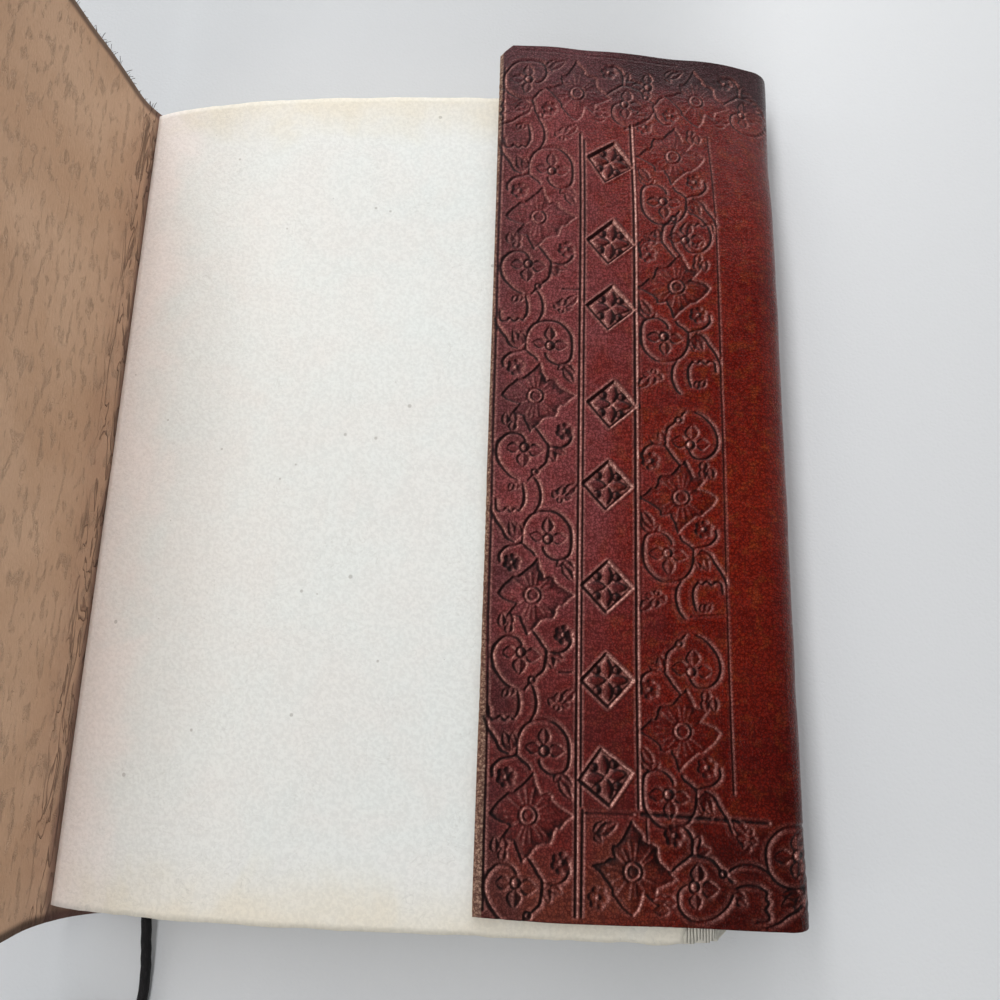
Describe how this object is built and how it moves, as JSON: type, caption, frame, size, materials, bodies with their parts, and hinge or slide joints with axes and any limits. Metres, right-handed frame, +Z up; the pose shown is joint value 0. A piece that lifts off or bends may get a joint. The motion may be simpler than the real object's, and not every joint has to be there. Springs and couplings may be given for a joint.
{
  "type": "leather journal",
  "caption": "Hand-sewn journal with a wrap-round leather cover, tooled fore-edge flap, rag paper leaves and a tie cord, lying open at its first leaf.",
  "frame": {"origin": "middle of the back cover's flat underside, on the surface that the journal lies on", "axes": "+X from the spine to the fore-edge, +Y from the tail to the head of the pages, +Z up through the pages"},
  "size_m": [0.2253, 0.3454, 0.2098],
  "materials": {
    "cover_leather": "semi-gloss, waxed, red-brown",
    "rag_paper": "matt, soft, fibrous",
    "sewing_thread": "matt, waxed linen",
    "black_cord": "matt, black"
  },
  "bodies": {
    "bound_block": {"back_cover": "cover_leather", "page_block": "rag_paper", "sewing_thread_1": "sewing_thread", "sewing_thread_2": "sewing_thread", "sewing_thread_3": "sewing_thread", "sewing_thread_4": "sewing_thread", "sewing_thread_5": "sewing_thread", "sewing_thread_6": "sewing_thread", "sewing_thread_7": "sewing_thread", "sewing_thread_8": "sewing_thread", "tie_cord": "black_cord", "tie_cord_coil": "black_cord", "tie_cord_knot": "black_cord"},
    "front_cover": {"front_cover": "cover_leather"},
    "fore_edge": {"fore_edge_wrap": "cover_leather"},
    "flap": {"flap": "cover_leather"}
  },
  "joints": [
    {"name": "front_cover_hinge", "type": "hinge", "parent": "bound_block", "child": "front_cover", "pos_m": [-0.1135, -0.0055, 0.0288], "axis": [0, 1, 0], "range_deg": [-98, 90]},
    {"name": "fore_edge_hinge", "type": "hinge", "parent": "bound_block", "child": "fore_edge", "pos_m": [0.09616, 0.0055, 0.00354], "axis": [0, 1, 0], "range_deg": [0, 90]},
    {"name": "flap_hinge", "type": "hinge", "parent": "fore_edge", "child": "flap", "pos_m": [0.09586, 0.0055, 0.02316], "axis": [0, 1, 0], "range_deg": [0, 90]}
  ]
}
